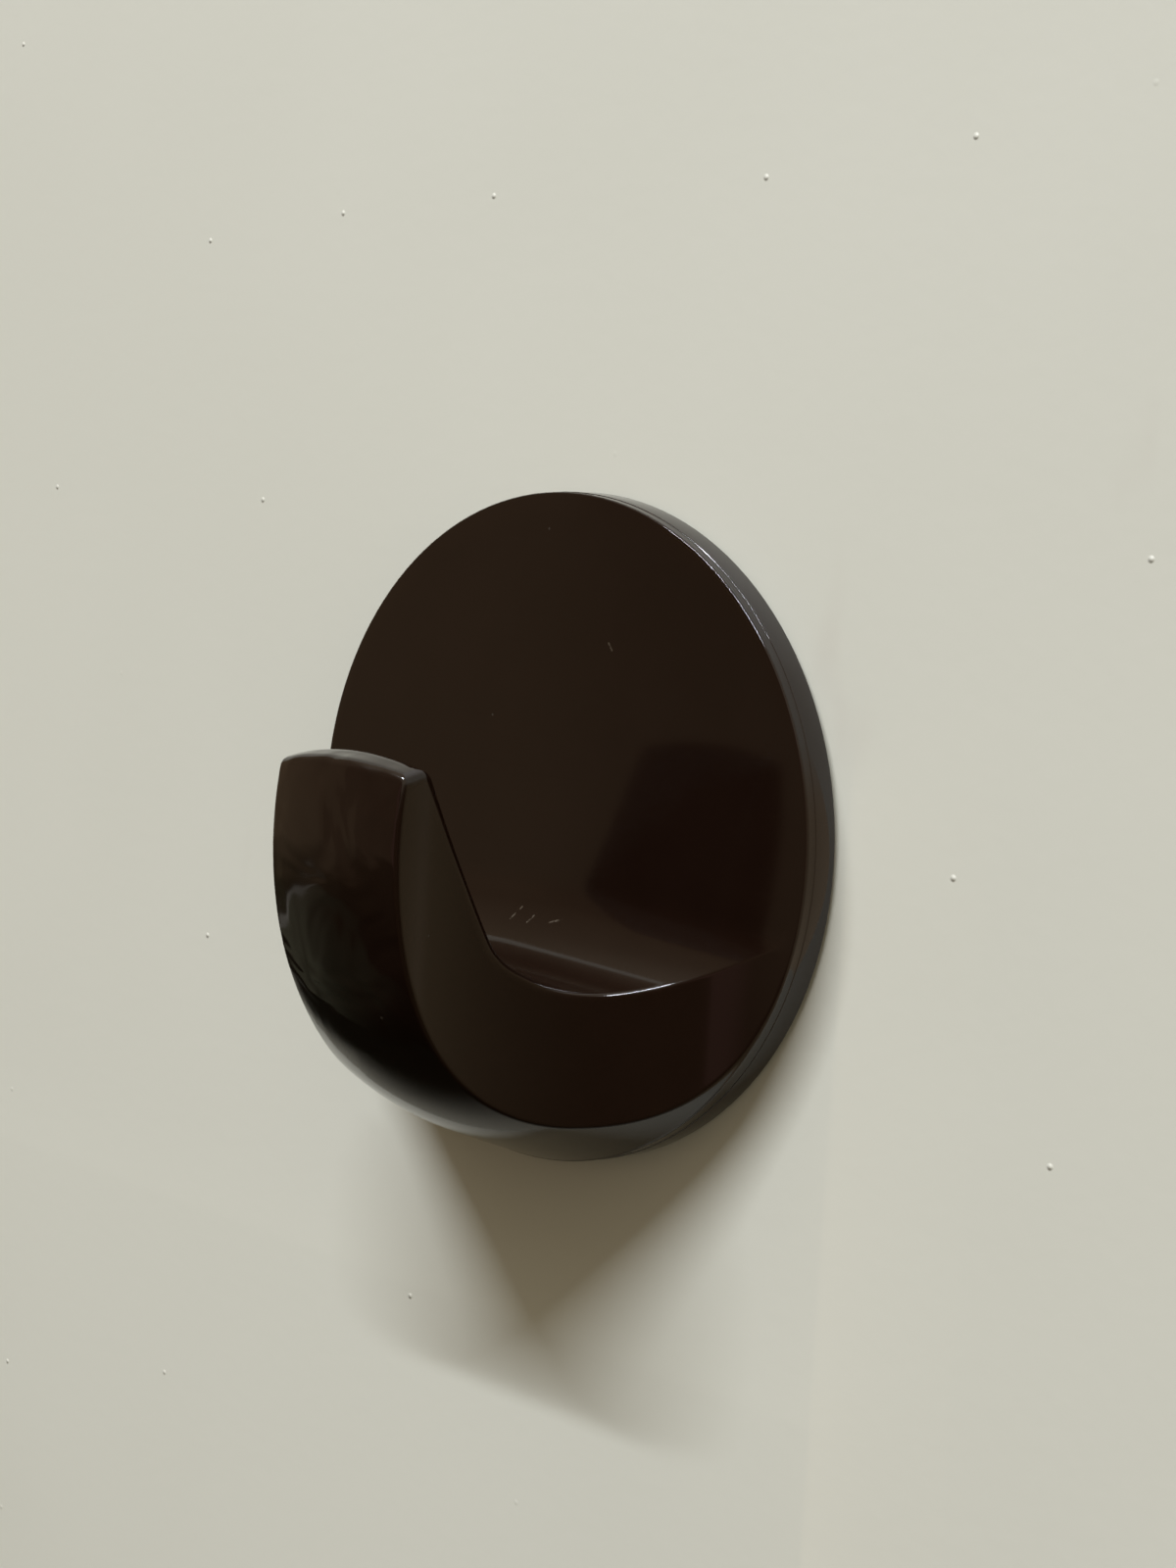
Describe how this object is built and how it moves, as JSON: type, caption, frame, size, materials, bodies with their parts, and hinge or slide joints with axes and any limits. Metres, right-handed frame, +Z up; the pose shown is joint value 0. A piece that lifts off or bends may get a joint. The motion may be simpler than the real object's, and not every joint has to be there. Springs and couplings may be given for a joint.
{
  "type": "adhesive wall hook",
  "caption": "Round glossy plastic wall hook: a disc-shaped plate with a ball-fronted J prong on flared sides, bonded to the wall by a foam pad in a recess behind the plate.",
  "frame": {"origin": "centre of the wall-side adhesive's outer face, on the wall, behind the centre of the plate", "axes": "+Y into the wall, so the hook stands out towards -Y; +Z up along the prong; +X to the right as seen from the room"},
  "size_m": [0.0502, 0.0247, 0.0502],
  "materials": {
    "brown_plastic": "dark brown moulded plastic, high gloss",
    "adhesive_film": "pale amber acrylic adhesive, tacky satin",
    "white_foam": "white closed-cell foam with cut cells at the edge"
  },
  "bodies": {
    "root": {"hook_body": "brown_plastic", "plate_side_adhesive": "adhesive_film", "foam_core": "white_foam", "wall_side_adhesive": "adhesive_film"}
  },
  "joints": []
}
